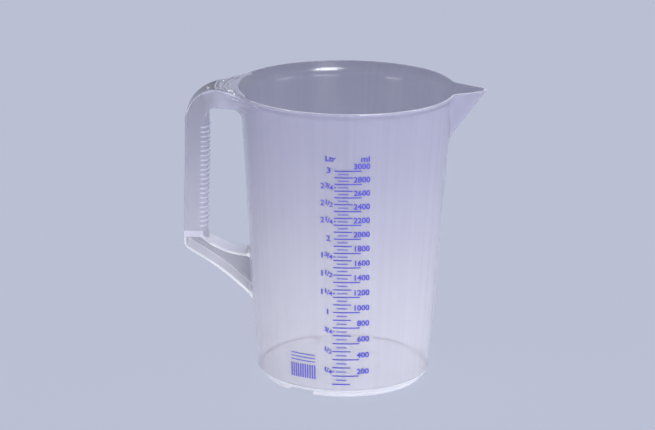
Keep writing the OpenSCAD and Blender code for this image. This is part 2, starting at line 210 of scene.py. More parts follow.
def makeVessel():
    columns = vesselColumns()
    angle = np.abs(columns)
    fromHandle = 180 - np.degrees(angle)
    amount = flareAmount(fromHandle)
    ringH, corner = vessel["ringH"], vessel["cornerR"]
    ringIn = footR - vessel["ringT"]
    offMiddle = np.abs((np.degrees(columns) + notchTurn / 2) % notchTurn - notchTurn / 2)
    notched = offMiddle < notchHalfDeg
    droop = lip["droop"] * smoothStep(*lip["droopDeg"], np.degrees(angle))
    rows = []

    def addRow(radius, height):
        rows.append((np.broadcast_to(radius, columns.shape).astype(float).copy(),
                     np.broadcast_to(height, columns.shape).astype(float).copy()))

    for r in (*vessel["underRs"], ringIn - vessel["underLap"]):        # underside of the floor
        addRow(r, ringH)
    inset, bevel = vessel["ringRound"], vessel["ringBevel"]            # rounded edges of the foot ring
    for r, z in ((ringIn, ringH), (ringIn, inset), (ringIn + bevel, bevel), (ringIn + inset, 0),
                 (footR - inset, 0), (footR - bevel, bevel), (footR, inset), (footR, ringH)):
        addRow(r, np.where(notched, ringH, z))
    for deg in np.linspace(vessel["cornerFromDeg"], 0, 12):            # outer corner
        a = math.radians(deg)
        addRow(footR + corner * math.cos(a), footZ + corner * math.sin(a))
    outer = [*np.arange(16, 180, vessel["wallStep"]), *np.arange(184, 226, vessel["lipStep"]),
             *np.arange(225.9, 231.2, vessel["rimStep"]), 231.3, 231.5, 231.7, 232.0]
    for z in outer:                                    # rows are close only where lip and rim bend
        addRow(outerRadius(angle, np.full_like(angle, z), amount), z - droop * smoothStep(*lip["droopZ"], z))
    lowered = fan["drop"] * smoothStep(fan["fadeToDeg"], fan["fadeFromDeg"], fromHandle)
    top = vessel["height"] - droop - lowered
    outTop = outerRadius(angle, np.full_like(angle, vessel["height"] - 1.0), amount)
    inTop = innerRadius(angle, np.full_like(angle, vessel["height"]), amount)
    e = vessel["edgeRound"]
    for radius, way, turns in ((outTop, 1, (0, 30, 60, 90)), (inTop, -1, (90, 60, 30, 0))):
        for a in np.radians(turns):
            addRow(radius - way * e * (1 - math.cos(a)), top - e * (1 - math.sin(a)))
    inner = [232.2, 231.8, 231.2, *np.arange(230.4, 225.5, -vessel["innerRimStep"]),
             *np.arange(224.5, 184, -vessel["lipStep"]), *np.arange(180, 12, -vessel["wallStep"])]
    for z in inner:
        bend = z - droop * smoothStep(*lip["droopZ"], z) - lowered * smoothStep(vessel["flareZ"], vessel["height"], z)
        addRow(innerRadius(angle, np.full_like(angle, z), amount), bend)
    inR = corner - vessel["wall"]
    for deg in np.linspace(0, -90, 9):                 # inner corner
        a = math.radians(deg)
        addRow(footR + inR * math.cos(a), footZ + (footZ - vessel["floorZ"]) * math.sin(a))
    for r in vessel["floorRs"]:
        addRow(r, vessel["floorZ"])

    count = len(columns)
    points = np.concatenate([np.stack([r * np.cos(columns), r * np.sin(columns), z], 1) for r, z in rows])
    faces = []
    for j in range(len(rows) - 1):
        for i in range(count):
            k = (i + 1) % count
            faces.append((j * count + i, j * count + k, (j + 1) * count + k, (j + 1) * count + i))
    underMiddle, floorMiddle = len(points), len(points) + 1
    points = np.vstack([points, [[0, 0, ringH], [0, 0, vessel["floorZ"]]]])
    last = (len(rows) - 1) * count
    for i in range(count):
        k = (i + 1) % count
        faces.append((underMiddle, k, i))
        faces.append((last + i, last + k, floorMiddle))
    obj = meshFromArrays("jugVessel", points, faces)
    tidyMesh(obj.data)
    return obj


def tidyMesh(mesh, distance=0.004):
    work = bmesh.new()
    work.from_mesh(mesh)
    bmesh.ops.remove_doubles(work, verts=work.verts, dist=distance * mm)
    bmesh.ops.dissolve_degenerate(work, dist=distance * mm / 4, edges=work.edges)
    bmesh.ops.recalc_face_normals(work, faces=work.faces)
    work.to_mesh(mesh)
    work.free()
    mesh.update()


# Handle: its shape is a field of distances, from which a skin is drawn
handle = {
    "innerX": -108, "outerX": -126.5, "halfW": 11.5, "topZ": 232.8, "rimTopZ": 232.96, "rimTopX": (-101, -90),
    "underZ": 216.3, "shoulderR": 28, "filletR": 4, "kneeX": -111.4, "kneeSpan": 4, "kneeBlend": 5,
    "fanDeg": 31, "fanLow": 0.2, "fanRise": 12, "fanFillet": 5, "rimFillet": 8, "rimLap": 0.05,
    "backRound": 3, "fingerRound": 7, "topRound": 1.3, "underRound": 1.4, "armBlend": (-4, 14),
    "lean": 1.1, "leanZ": (125, 205), "leanX": (-92, -108),
    "footZ": 107, "bracketTopZ": 115.5, "hornX": -118, "hornZ": 121.5, "heelR": 5, "heelTopZ": 111.5, "strap": 2.2,
    "edgeRound": 0.7, "pocketRound": 1.2, "gripFillet": 1.0, "webFromY": 9,
    "gapCentre": (-74.59, 153.8), "gapR": 55, "braceCentre": (-218.6, -74.3), "braceR": 200,
    "wallFillet": 4, "armFillet": 9, "filletZ": (190, 205), "filletEndZ": (228, 219), "leastFillet": 0.02,
    "filletDepth": 7, "flatRise": 6, "shelfStart": 6, "sink": 0.04, "depth": 1.3, "reachY": 53, "lowestZ": 57,
    "pitch": 0.75, "low": (-128.4, -54.6, 55), "high": (-60, 54.6, 235),
}
skin = {"pulls": 4, "step": 0.05, "farthest": 0.3, "flattest": 0.25, "rounds": 6, "barely": 1e-3}
farOff = 20                                            # a distance that leaves a form out, in mm


def handleWidth(x):
    spread = handle["halfW"] + (x - handle["kneeX"]) * math.tan(math.radians(handle["fanDeg"]))
    fanned = smoothStep(-handle["kneeSpan"], handle["kneeSpan"], spread - handle["halfW"])
    return softMax(spread, handle["halfW"], handle["kneeBlend"]), fanned


def armTop(x):
    return handle["topZ"] + (handle["rimTopZ"] - handle["topZ"]) * smoothStep(*handle["rimTopX"], x)


def gripLean(x, z):                                    # the grip leans a little towards the jug from the bracket up
    return handle["lean"] * smoothStep(*handle["leanZ"], z) * smoothStep(*handle["leanX"], x)


def armAndGrip(x, z, side, radial):                    # the loop of arm and grip, and the arm's fan towards the rim
    r = handle["shoulderR"]
    cx, cz = handle["outerX"] + r, handle["topZ"] - r
    back = np.where((x < cx) & (z > cz), np.hypot(x - cx, z - cz) - r,
                    np.where(x < cx, handle["outerX"] - x, z - armTop(x)))
    a, b, f = x - handle["innerX"], handle["underZ"] - z, handle["filletR"]
    hole = np.where((a < f) & (b < f), f - np.hypot(f - a, f - b), np.minimum(a, b))
    rise = np.clip((z - handle["underZ"]) / handle["fanRise"], 0, 1)
    share = handle["fanLow"] + (1 - handle["fanLow"]) * rise
    fullW, fanned = handleWidth(x)
    halfW = handle["halfW"] + (fullW - handle["halfW"]) * share
    slopeX = math.tan(math.radians(handle["fanDeg"])) * fanned * share
    slopeZ = (fullW - handle["halfW"]) * (1 - handle["fanLow"]) / handle["fanRise"] * ((rise > 0) & (rise < 1))
    flank = (side - halfW) / np.sqrt(1 + slopeX ** 2 + slopeZ ** 2)
    fillet = handle["fanFillet"] + handle["rimFillet"] * rise
    spread = roundMin(flank, radial - flaredRadius(z) + handle["rimLap"], fillet)
    shelf = np.maximum(roundMax(back, spread, handle["topRound"]), handle["underZ"] - z)
    onArm = smoothStep(cz + handle["armBlend"][0], cz + handle["armBlend"][1], z)
    outer = handle["backRound"] + (handle["topRound"] - handle["backRound"]) * onArm
    inner = handle["fingerRound"] + (handle["underRound"] - handle["fingerRound"]) * onArm
    loop = np.maximum(roundMax(back, flank, outer), roundMax(hole, flank, inner))
    return np.maximum(loop, handle["footZ"] - z), shelf


def withBracket(loop, x, y, z, side):                  # adds the bracket, open on one side up to its web
    gap = handle["gapR"] - np.hypot(x - handle["gapCentre"][0], z - handle["gapCentre"][1])
    gap = np.where(z > handle["gapCentre"][1], farOff, gap)
    brace = handle["braceR"] - np.hypot(x - handle["braceCentre"][0], z - handle["braceCentre"][1])
    outline = roundMax(handle["outerX"] - x, brace, handle["heelR"])
    horn = np.maximum(handle["hornX"] - x, z - handle["hornZ"])
    outline = np.maximum(np.maximum(outline, gap), np.minimum(z - handle["bracketTopZ"], horn))
    flat = side - handle["halfW"]
    recess = np.maximum(np.maximum(handle["outerX"] + handle["strap"] - x, z - handle["heelTopZ"]),
                        np.maximum(gap, brace) + handle["strap"])
    pocket = roundMax(recess, y - handle["webFromY"], handle["pocketRound"])
    bracket = roundMax(outline, flat, handle["edgeRound"])
    shape = np.maximum(roundMin(loop, bracket, handle["gripFillet"]), handle["outerX"] - x)
    shape = np.where(z < handle["hornZ"] + handle["flatRise"], np.maximum(shape, flat), shape)
    return roundMax(shape, -pocket, handle["edgeRound"])


def handleDistance(p):
    x, y, z = p[:, 0] - gripLean(p[:, 0], p[:, 2]), p[:, 1], p[:, 2]
    side, radial = np.abs(y), np.hypot(p[:, 0], y)
    loop, shelf = armAndGrip(x, z, side, radial)
    shape = withBracket(loop, x, y, z, side)
    wall = bodyRadius(z, flareAmount(np.degrees(np.arctan2(side, -x))))
    blend = handle["wallFillet"] + (handle["armFillet"] - handle["wallFillet"]) * smoothStep(*handle["filletZ"], z)
    blend = blend * smoothStep(*handle["filletEndZ"], z) + handle["leastFillet"]
    joined = np.maximum(roundMin(shape, radial - wall, blend), shape - handle["filletDepth"])
    onShelf = x > handle["kneeX"] + handle["shelfStart"]
    joined = np.minimum(joined, np.where(onShelf, shelf, farOff)) + handle["sink"]
    joined = np.maximum(joined, wall - handle["depth"] - radial)       # it ends inside the vessel's wall
    joined = np.maximum(joined, np.maximum(z - armTop(x) + handle["sink"], side - handle["reachY"]))
    return np.maximum(joined, handle["lowestZ"] - z)


def settleDiagonals(values):                           # joins solid corners that only touch, so the skin closes
    for _ in range(skin["rounds"]):
        changed = 0
        for u, v in ((0, 1), (1, 2), (0, 2)):
            turned = np.moveaxis(values, (u, v), (0, 1))
            a, b, c, d = turned[:-1, :-1], turned[1:, :-1], turned[:-1, 1:], turned[1:, 1:]
            for solidA, solidB, openA, openB in ((a, d, b, c), (b, c, a, d)):
                diagonal = (solidA < 0) & (solidB < 0) & (openA >= 0) & (openB >= 0)
                openA[diagonal] = -skin["barely"]
                changed += diagonal.sum()
        if not changed:
            break


def cellPoints(values):                                # one point in every cell that the surface crosses
    inside = values < 0
    cells = tuple(n - 1 for n in values.shape)

    def corner(i, j, k, source):
        return source[i:i + cells[0], j:j + cells[1], k:k + cells[2]]

    total = sum(corner(i, j, k, inside).astype(np.int8) for i in (0, 1) for j in (0, 1) for k in (0, 1))
    mixed = (total > 0) & (total < 8)
    index = np.full(cells, -1)
    index[mixed] = np.arange(mixed.sum())
    where = np.argwhere(mixed)
    sums, hits = np.zeros((len(where), 3)), np.zeros(len(where))
    for axis in range(3):
        others = [a for a in range(3) if a != axis]
        for u in (0, 1):
            for v in (0, 1):
                start = [0, 0, 0]
                start[others[0]], start[others[1]] = u, v
                end = list(start)
                end[axis] = 1
                va, vb = corner(*start, values)[mixed], corner(*end, values)[mixed]
                crossed = (va < 0) != (vb < 0)
                t = np.where(crossed, va / np.where(crossed, va - vb, 1), 0)
                spot = np.tile(np.array(start, float), (len(where), 1))
                spot[:, axis] = t
                sums[crossed] += spot[crossed]
                hits[crossed] += 1
    return where + sums / hits[:, None], index


def cellFaces(inside, index):                          # a quad between the four cells round every crossed edge
    faces = []
    for axis in range(3):
        u, v = [(1, 2), (2, 0), (0, 1)][axis]
        first, second = [slice(1, -1)] * 3, [slice(1, -1)] * 3
        first[axis], second[axis] = slice(0, -1), slice(1, None)
        a, b = inside[tuple(first)], inside[tuple(second)]
        cross = np.argwhere(a != b)
        offset = np.array([1, 1, 1])
        offset[axis] = 0
        ring = []
        for du, dv in ((-1, -1), (0, -1), (0, 0), (-1, 0)):
            cell = cross + offset
            cell[:, u] += du
            cell[:, v] += dv
            ring.append(index[tuple(cell.T)])
        quad = np.stack(ring, 1)
        flip = b[tuple(cross.T)]
        quad[flip] = quad[flip][:, ::-1]
        faces.append(quad)
    return np.concatenate(faces)


def pulledOnto(field, points, pitch):                  # moves every point onto the true surface
    step, farthest = skin["step"], skin["farthest"] * pitch
    for _ in range(skin["pulls"]):
        value = field(points)
        slopes = np.stack([(field(points + d) - field(points - d)) / (2 * step) for d in np.eye(3) * step], 1)
        size = np.maximum((slopes ** 2).sum(1), skin["flattest"])
        move = slopes * (value / size)[:, None]
        points = points - np.clip(move, -farthest, farthest)
    return points


def skinOfField(field, low, high, pitch):
    counts = [int(math.ceil((h - l) / pitch)) + 1 for l, h in zip(low, high)]
    axes = [l + pitch * np.arange(n) for l, n in zip(low, counts)]
    gx, gy, gz = np.meshgrid(*axes, indexing="ij")
    values = field(np.stack([gx.ravel(), gy.ravel(), gz.ravel()], 1)).reshape(counts)
    settleDiagonals(values)
    points, index = cellPoints(values)
    return pulledOnto(field, np.array(low) + pitch * points, pitch), cellFaces(values < 0, index)


def makeHandle():
    points, faces = skinOfField(handleDistance, handle["low"], handle["high"], handle["pitch"])
    obj = meshFromArrays("jugHandle", points, faces)
    tidyMesh(obj.data, 0.002)
    return obj


# Ridges: rounded strips laid along the grip and the arm
fingerRidges = {
    "firstZ": 121.15, "pitch": 3.8, "count": 22, "width": 1.7, "height": 0.7, "cornerX": -115, "cornerR": 7,
    "startDeg": -90, "proudDeg": -62, "steps": 13,
}
thumbRidges = {
    "centreX": -40, "firstR": 51.4, "pitch": 3.56, "count": 4, "width": 1.7, "height": 0.65, "margin": 1.2,
    "clearR": 87.2, "searchDeg": 0.5, "endShare": 0.88, "topLimit": 0.18, "steps": 41,
}
hidden = 0.06                                          # how far a ridge's end dips under the surface, in mm
upright = np.array([0, 0, 1.0])


def sweptStrip(path, up, side, width, heights, under=0.8, root=0.12):     # half round above, flat below
    turns = np.radians(np.linspace(0, 180, 9))
    rings = []
    for point, u, v, h in zip(path, up, side, heights):
        ring = [point - v * width / 2 - u * under, point + v * width / 2 - u * under]
        ring += [point + v * width / 2 * math.cos(t) + u * (-root + (h + root) * math.sin(t)) for t in turns]
        rings.append(ring)
    count = len(rings[0])
    faces = [tuple(range(count)), tuple(range((len(rings) - 1) * count, len(rings) * count))[::-1]]
    for j in range(len(rings) - 1):
        for i in range(count):
            k = (i + 1) % count
            faces.append((j * count + i, (j + 1) * count + i, (j + 1) * count + k, j * count + k))
    return np.array(rings).reshape(-1, 3), faces


def ridgeStrips():
    strips = []
    cx, r, half = fingerRidges["cornerX"], fingerRidges["cornerR"], handle["halfW"]
    outline = []
    for deg in np.linspace(fingerRidges["startDeg"], 0, fingerRidges["steps"]):
        a = math.radians(deg)
        proud = float(smoothStep(fingerRidges["startDeg"], fingerRidges["proudDeg"], deg))
        outline.append(((cx + r * math.cos(a), -half + r + r * math.sin(a)), (math.cos(a), math.sin(a)), proud))
    outline += [((x, -y), (nx, -ny), h) for (x, y), (nx, ny), h in outline[::-1]]
    for i in range(fingerRidges["count"]):
        z = fingerRidges["firstZ"] + i * fingerRidges["pitch"]
        path = np.array([(x + float(gripLean(x, z)), y, z) for (x, y), n, h in outline])
        up = np.array([(nx, ny, 0) for c, (nx, ny), h in outline], float)
        heights = [fingerRidges["height"] * h - hidden * (h == 0) for c, n, h in outline]
        strips.append(sweptStrip(path, up, [upright] * len(path), fingerRidges["width"], heights))
    for i in range(thumbRidges["count"]):
        radius = thumbRidges["firstR"] + i * thumbRidges["pitch"]
        spans = np.radians(np.arange(0, 90, thumbRidges["searchDeg"]))
        along, across = thumbRidges["centreX"] - radius * np.cos(spans), radius * np.sin(spans)
        edge, turned = handleWidth(along)
        free = (across < edge - thumbRidges["margin"]) & (np.hypot(along, across) > thumbRidges["clearR"])
        reach = spans[free].max()
        turns = np.linspace(-reach, reach, thumbRidges["steps"])
        path = np.stack([thumbRidges["centreX"] - radius * np.cos(turns), radius * np.sin(turns), turns * 0], 1)
        path[:, 2] = armTop(path[:, 0]) - handle["sink"]
        past = np.maximum(handle["outerX"] + handle["shoulderR"] + handle["lean"] - path[:, 0], 0)
        path[:, 2] -= handle["shoulderR"] - np.sqrt(handle["shoulderR"] ** 2 - past ** 2)
        out = np.stack([-np.cos(turns), np.sin(turns), turns * 0], 1)
        heights = thumbRidges["height"] * smoothStep(reach, reach * thumbRidges["endShare"], np.abs(turns))
        heights = heights - hidden * (np.abs(turns) >= reach)
        heights = np.minimum(heights, vessel["height"] + thumbRidges["topLimit"] - path[:, 2])
        strips.append(sweptStrip(path, [upright] * len(path), out, thumbRidges["width"], heights))
    obj = meshFromArrays("ridges", *stacked(strips))
    tidyMesh(obj.data, 0.001)
    return obj


vesselPiece = makeVessel()
print("vessel:", len(vesselPiece.data.polygons), "faces")
handlePiece = makeHandle()
print("handle:", len(handlePiece.data.polygons), "faces")
ridges = ridgeStrips()


def joinSolids(target, tool):
    join = target.modifiers.new("join", "BOOLEAN")
    join.operation = "UNION"
    join.solver = "MANIFOLD"
    join.object = tool
    applyModifiers(target)
    bpy.data.objects.remove(tool)


jug = vesselPiece
jug.name = "jugMoulding"
joinSolids(handlePiece, ridges)
print("handle with ridges:", len(handlePiece.data.polygons), "faces")
joinSolids(jug, handlePiece)
print("moulding:", len(jug.data.polygons), "faces")

# Materials: the jug is one milky plastic, with painted light and shade in its base colour: whiter towards the foot,
# darker towards the top and on the grip, and lighter or darker plastics on faces with painted light or painted shade.
# Heights and places in a look ("gradient", "gripShade", "shoulder") are in metres.
plasticLook = {
    "low": (0.75, 0.735, 0.80, 1), "high": (0.46, 0.455, 0.585, 1), "gradient": (0.0, 0.235),
    "alphaLow": 0.36, "alphaHigh": 0.54, "roughness": 0.12, "gloss": 0.5,
    "streaks": (26, 26, 0.3), "streakShift": (0.3, 0.6, 0.4), "streakRange": (0.3, 0.7), "streakDark": 0.95,
    "gripShade": (-0.101, -0.088), "thickShade": 0.84, "shoulder": (0.15, 0.22), "shoulderShade": 0.80,
    "grain": 260, "grainStrength": 0.12, "grainDepth": 0.00005, "scatter": 0.7, "scatterDepth": 0.006,
}
evenLook = dict(plasticLook, streakDark=0.97, roughness=0.2, thickShade=1, shoulderShade=1)
# painted light: lighter plastic where edges catch the light
edgeLightLook = dict(evenLook, low=(0.92, 0.905, 0.97, 1), high=(0.87, 0.865, 0.98, 1), alphaLow=0.8, alphaHigh=0.7,
                scatter=1)
# painted shade in the bracket's recessed web
webShadeLook = dict(evenLook, low=(0.47, 0.47, 0.48, 1), high=(0.39, 0.39, 0.43, 1), alphaLow=0.5, alphaHigh=0.5,
               scatter=0.5)
# painted light on the ridges, the heel band, the arm's edge, the floor and the foot's corner; the roughness is the
# ridges' own
ridgeLightLook = dict(evenLook, low=(0.90, 0.89, 0.97, 1), high=(0.60, 0.60, 0.78, 1), alphaLow=0.6, alphaHigh=0.56,
                 roughness=0.42, scatter=0.9)
darkLook = dict(evenLook, alphaLow=0.66, alphaHigh=0.66)
shadeLook = dict(darkLook, low=(0.34, 0.33, 0.39, 1), high=(0.34, 0.33, 0.39, 1), scatter=0)
# painted shade on the top of the shoulder
shoulderLook = dict(darkLook, low=(0.24, 0.24, 0.33, 1), high=(0.24, 0.24, 0.33, 1), scatter=0.6, gloss=0.08)
inkLook = {"colour": (0.045, 0.04, 0.44, 1), "worn": (0.08, 0.07, 0.55, 1), "speckle": 1400, "roughness": 0.4}
faintInkLook = dict(inkLook, colour=(0.09, 0.08, 0.47, 1), worn=(0.15, 0.14, 0.56, 1))


def newMaterial(name):
    mat = bpy.data.materials.new(name)
    mat.use_nodes = True
    shader = mat.node_tree.nodes["Principled BSDF"]
    return mat, mat.node_tree, shader


def addNode(tree, kind, **settings):
    node = tree.nodes.new(kind)
    for key, value in settings.items():
        setattr(node, key, value)
    return node


def setInputs(node, values):
    for name, value in values.items():
        node.inputs[name].default_value = value


def mapRange(tree, source, fromRange=(0, 1), toRange=(0, 1), smooth=False):
    node = addNode(tree, "ShaderNodeMapRange", interpolation_type="SMOOTHSTEP" if smooth else "LINEAR")
    setInputs(node, dict(zip(("From Min", "From Max", "To Min", "To Max"), (*fromRange, *toRange))))
    tree.links.new(source, node.inputs["Value"])
    return node


def mixColours(tree, factor, first, second, blend="MIX"):
    node = addNode(tree, "ShaderNodeMix", data_type="RGBA", blend_type=blend)
    for index, value in ((0, factor), (6, first), (7, second)):
        if isinstance(value, bpy.types.NodeSocket):
            tree.links.new(value, node.inputs[index])
        else:
            node.inputs[index].default_value = value
    return node.outputs[2]


def flowLines(tree, place, split, look):               # they run up the wall, so they follow the bearing
    link = tree.links.new
    centre = addNode(tree, "ShaderNodeMapping")
    setInputs(centre, {"Location": (-axisX * mm, 0, 0), "Scale": (1, 1, 0)})
    link(place.outputs["Object"], centre.inputs["Vector"])
    direction = addNode(tree, "ShaderNodeVectorMath", operation="NORMALIZE")
    link(centre.outputs["Vector"], direction.inputs[0])
    bearing = addNode(tree, "ShaderNodeSeparateXYZ")
    link(direction.outputs["Vector"], bearing.inputs["Vector"])
    joined = addNode(tree, "ShaderNodeCombineXYZ")
    for source, axis in ((bearing, "X"), (bearing, "Y"), (split, "Z")):
        link(source.outputs[axis], joined.inputs[axis])
    stretch = addNode(tree, "ShaderNodeMapping")
    setInputs(stretch, {"Location": look["streakShift"], "Scale": look["streaks"]})
    link(joined.outputs["Vector"], stretch.inputs["Vector"])
    streaks = addNode(tree, "ShaderNodeTexNoise")
    setInputs(streaks, {"Scale": 1, "Detail": 2})
    link(stretch.outputs["Vector"], streaks.inputs["Vector"])
    return mapRange(tree, streaks.outputs["Fac"], look["streakRange"], (look["streakDark"], 1)).outputs["Result"]


def makePlastic(name, look):
    mat, tree, shader = newMaterial(name)
    link = tree.links.new
    place = addNode(tree, "ShaderNodeTexCoord")
    split = addNode(tree, "ShaderNodeSeparateXYZ")
    link(place.outputs["Object"], split.inputs["Vector"])
    # painted light and shade: the base colour runs whiter towards the foot and darker, bluer towards the top
    height = mapRange(tree, split.outputs["Z"], look["gradient"], smooth=True).outputs["Result"]
    tint = mixColours(tree, height, look["low"], look["high"])
    veil = mixColours(tree, 1, tint, flowLines(tree, place, split, look), "MULTIPLY")
    gripShade = mapRange(tree, split.outputs["X"], look["gripShade"])          # painted shade: the grip's base colour is darkened, and darker still at its shoulder
    darkest = (look["thickShade"], look["thickShade"] * look["shoulderShade"])
    shoulder = mapRange(tree, split.outputs["Z"], look["shoulder"], darkest)
    link(shoulder.outputs["Result"], gripShade.inputs["To Min"])
    link(mixColours(tree, 1, veil, gripShade.outputs["Result"], "MULTIPLY"), shader.inputs["Base Color"])
    cover = mapRange(tree, height, toRange=(look["alphaLow"], look["alphaHigh"]))
    link(cover.outputs["Result"], shader.inputs["Alpha"])
    grain = addNode(tree, "ShaderNodeTexNoise")
    grain.inputs["Scale"].default_value = look["grain"]
    link(place.outputs["Object"], grain.inputs["Vector"])
    bump = addNode(tree, "ShaderNodeBump")
    setInputs(bump, {"Strength": look["grainStrength"], "Distance": look["grainDepth"]})
    link(grain.outputs["Fac"], bump.inputs["Height"])
    link(bump.outputs["Normal"], shader.inputs["Normal"])
    setInputs(shader, {"Roughness": look["roughness"], "Specular IOR Level": look["gloss"]})
    setInputs(shader, {"Subsurface Weight": look["scatter"], "Subsurface Radius": (1, 1, 1),       # light soaks in
                       "Subsurface Scale": look["scatterDepth"]})
    return mat


def makeInk(name, look):
    mat, tree, shader = newMaterial(name)
    place = addNode(tree, "ShaderNodeTexCoord")
    speckle = addNode(tree, "ShaderNodeTexNoise")
    speckle.inputs["Scale"].default_value = look["speckle"]
    tree.links.new(place.outputs["Object"], speckle.inputs["Vector"])
    tint = mixColours(tree, speckle.outputs["Fac"], look["colour"], look["worn"])
    tree.links.new(tint, shader.inputs["Base Color"])
    shader.inputs["Roughness"].default_value = look["roughness"]
    return mat


# the plain plastic, then plastics with painted light and painted shade
plastics = [makePlastic(name, look) for name, look in (
    ("milkyPlastic", plasticLook), ("milkyEdgeLight", edgeLightLook), ("milkyWebShade", webShadeLook), ("milkyRidgeLight", ridgeLightLook),
    ("milkyShade", shadeLook), ("milkyShadedShoulder", shoulderLook))]
edgeLightSlot, webShadeSlot, ridgeLightSlot, shadeSlot, shoulderSlot = range(1, len(plastics))
ink = makeInk("scaleInk", inkLook)
faintInk = makeInk("faintScaleInk", faintInkLook)

# Which faces of the moulding get a plastic with painted light or painted shade instead of the plain one, in mm
marks = {
    "rimR": 81, "rimX": -72, "rimZ": 231.2, "ringR": 66, "ringZ": 1.2, "cornerZ": 7.2, "floorR": 63.9,
    "floorZ": (4.9, 5.02), "floorEdgeR": 58, "floorEdgeZ": 6.4, "bracketX": -68, "bracketZ": 121, "frontY": -10.7,
    "strapZ": 111, "bandX": -104, "bandZ": (107, 117), "armX": -80, "armR": 89.4, "armZ": 200, "armEdgeDeg": (18, 72),
    "shoulderX": -101, "thumbZ": 220, "ridgeProud": 0.12, "offWall": 1, "webGap": 0.4,
}
facing = {"top": 0.5, "corner": 0.3, "floorEdge": -0.1, "front": -0.5, "strap": 0.4, "web": -0.8, "arm": 0.15,
          "shoulder": 0.3}                             # how much of a face's direction is along one axis


def giveMaterial(obj, mat):
    obj.data.materials.clear()
    obj.data.materials.append(mat)


def within(values, limits):
    return (values > limits[0]) & (values < limits[1])


def markEdges(obj):                                    # faces with painted light or painted shade get their own slot
    count = len(obj.data.polygons)
    centres, normals = np.empty(count * 3), np.empty(count * 3)
    obj.data.polygons.foreach_get("center", centres)
    obj.data.polygons.foreach_get("normal", normals)
    centres, normals = centres.reshape(-1, 3) / mm - np.array([axisX, 0, 0]), normals.reshape(-1, 3)
    x, y, z = centres.T
    nx, ny, nz = normals.T
    radial = np.hypot(x, y)
    outward = (nx * x + ny * y) / radial
    away = np.degrees(np.arctan2(-ny, np.hypot(nx, nz)))                # how far a face turns to the print's side
    m = marks

    nearTop = (radial > m["rimR"]) & (x > m["rimX"]) & (y < 0) & (z > m["rimZ"]) & (nz > facing["top"])
    ring = (z < m["ringZ"]) & (radial < m["ringR"])
    corner = (z < m["cornerZ"]) & (outward > facing["corner"])
    floorFace = (radial < m["floorR"]) & within(z, m["floorZ"])
    floorEdge = within(z, (m["floorZ"][1], m["floorEdgeZ"])) & (radial > m["floorEdgeR"])
    floorEdge = floorEdge & (outward < facing["floorEdge"])
    onBracket = (x < m["bracketX"]) & (radial > wallR(z) + m["offWall"]) & (z < m["bracketZ"])
    front = (y < m["frontY"]) & (ny < facing["front"])
    strap = onBracket & ((front & (z < m["strapZ"])) | (np.abs(nz) > facing["strap"]))
    band = (x < m["bandX"]) & within(z, m["bandZ"]) & front
    web = onBracket & (np.abs(y - handle["webFromY"]) < m["webGap"]) & (ny < facing["web"])
    onArm = (x < m["armX"]) & (radial > m["armR"])
    armEdge = onArm & (z > m["armZ"]) & (y < 0) & within(away, m["armEdgeDeg"]) & (nz > facing["arm"])
    shoulder = (x < m["shoulderX"]) & (z > m["armZ"]) & (nz > facing["shoulder"]) & (away <= m["armEdgeDeg"][0])
    ridge = onArm & (handleDistance(centres) > m["ridgeProud"])

    slots = np.zeros(count, np.int32)
    # painted light: the foot ring, the bracket straps, the near half of the rim's top and the thumb ridges
    slots[ring | strap | nearTop | (ridge & (z > m["thumbZ"]))] = edgeLightSlot
    # painted shade on the shoulder's top
    slots[shoulder & ~ridge] = shoulderSlot
    # painted light: finger ridges, heel band, arm edge, floor and the foot's corner
    slots[(ridge & (z < m["thumbZ"])) | band | armEdge | floorFace | (corner & ~ring)] = ridgeLightSlot
    # painted shade in the web
    slots[web] = webShadeSlot
    slots[floorEdge] = shadeSlot
    obj.data.polygons.foreach_set("material_index", slots)
    obj.data.update()


jug.data.materials.clear()
for mat in plastics:
    jug.data.materials.append(mat)
markEdges(jug)
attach(jug, "root")
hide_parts("vessel_wall", "rim", "pouring_lip", "vessel_floor", "foot_ring", "handle_arm", "thumb_ridges",
            "handle_grip", "finger_ridges", "bracket_heel", "bracket_upper_strap", "bracket_lower_strap",
            "bracket_web")
for name in ("marks_200_ml", "marks_100_ml", "marks_50_ml", "quarter_ticks", "label_bars", "label_rules"):
    giveMaterial(nodes[name], faintInk if name == "marks_50_ml" else ink)
giveMaterial(nodes["moulding_mark"], plastics[0])
print("materials:", len(plastics), "plastics and 2 inks")

# Numerals: thin ink solids wrapped on the wall, beside the lines of the scale
numerals = {
    "azimuthDeg": -88.5, "lineLeft": -9, "height": 4.7, "lift": 3.8, "rightTop": 27.2, "rightLow": 28.6,
    "stretch": 1.04, "inkDepth": 0.05, "inkProud": 0.1, "curveSteps": 4, "bolder": 0.03, "stepMl": 200,
}
unitsZ = 196.4
units = {"Ltr": {"height": 4.6, "left": -7.0, "width": 7.8}, "ml": {"height": 4.5, "left": 19.9, "width": 6.9}}
fractions = {
    "wholeHeight": 4.5, "partHeight": 3.65, "wholeX": (-10.7, -7.6), "topX": (-7.4, -4.8), "slashX": (-5.5, -3.3),
    "lowX": (-4.0, -0.9), "aloneX": (-6.1, -2.9),
    "wholeLift": 1.1, "topLift": 2.0, "lowLift": -0.1, "aloneLift": 0.5,
    "slashLift": 1.0, "slashHeight": 4.4, "bolder": 0.012, "lowShift": 0.8,
    "narrowAlone": 1.1, "narrowTop": 0.8, "narrowWhole": 1.0,          # a 1 is narrower than the other digits
}
fullLitres = 3
litreRows = [(3, ""), (2, "3/4"), (2, "1/2"), (2, "1/4"), (2, ""), (1, "3/4"), (1, "1/2"), (1, "1/4"), (1, ""),
             (0, "3/4"), (0, "1/2"), (0, "1/4")]


def fillZ(ml):                                         # height of the surface when the jug holds this much
    insideR = vessel["baseR"] - vessel["wall"]
    floorR = insideR + slope * vessel["floorZ"]
    return ((floorR ** 3 + 3 * slope * ml * 1000 / math.pi) ** (1 / 3) - insideR) / slope


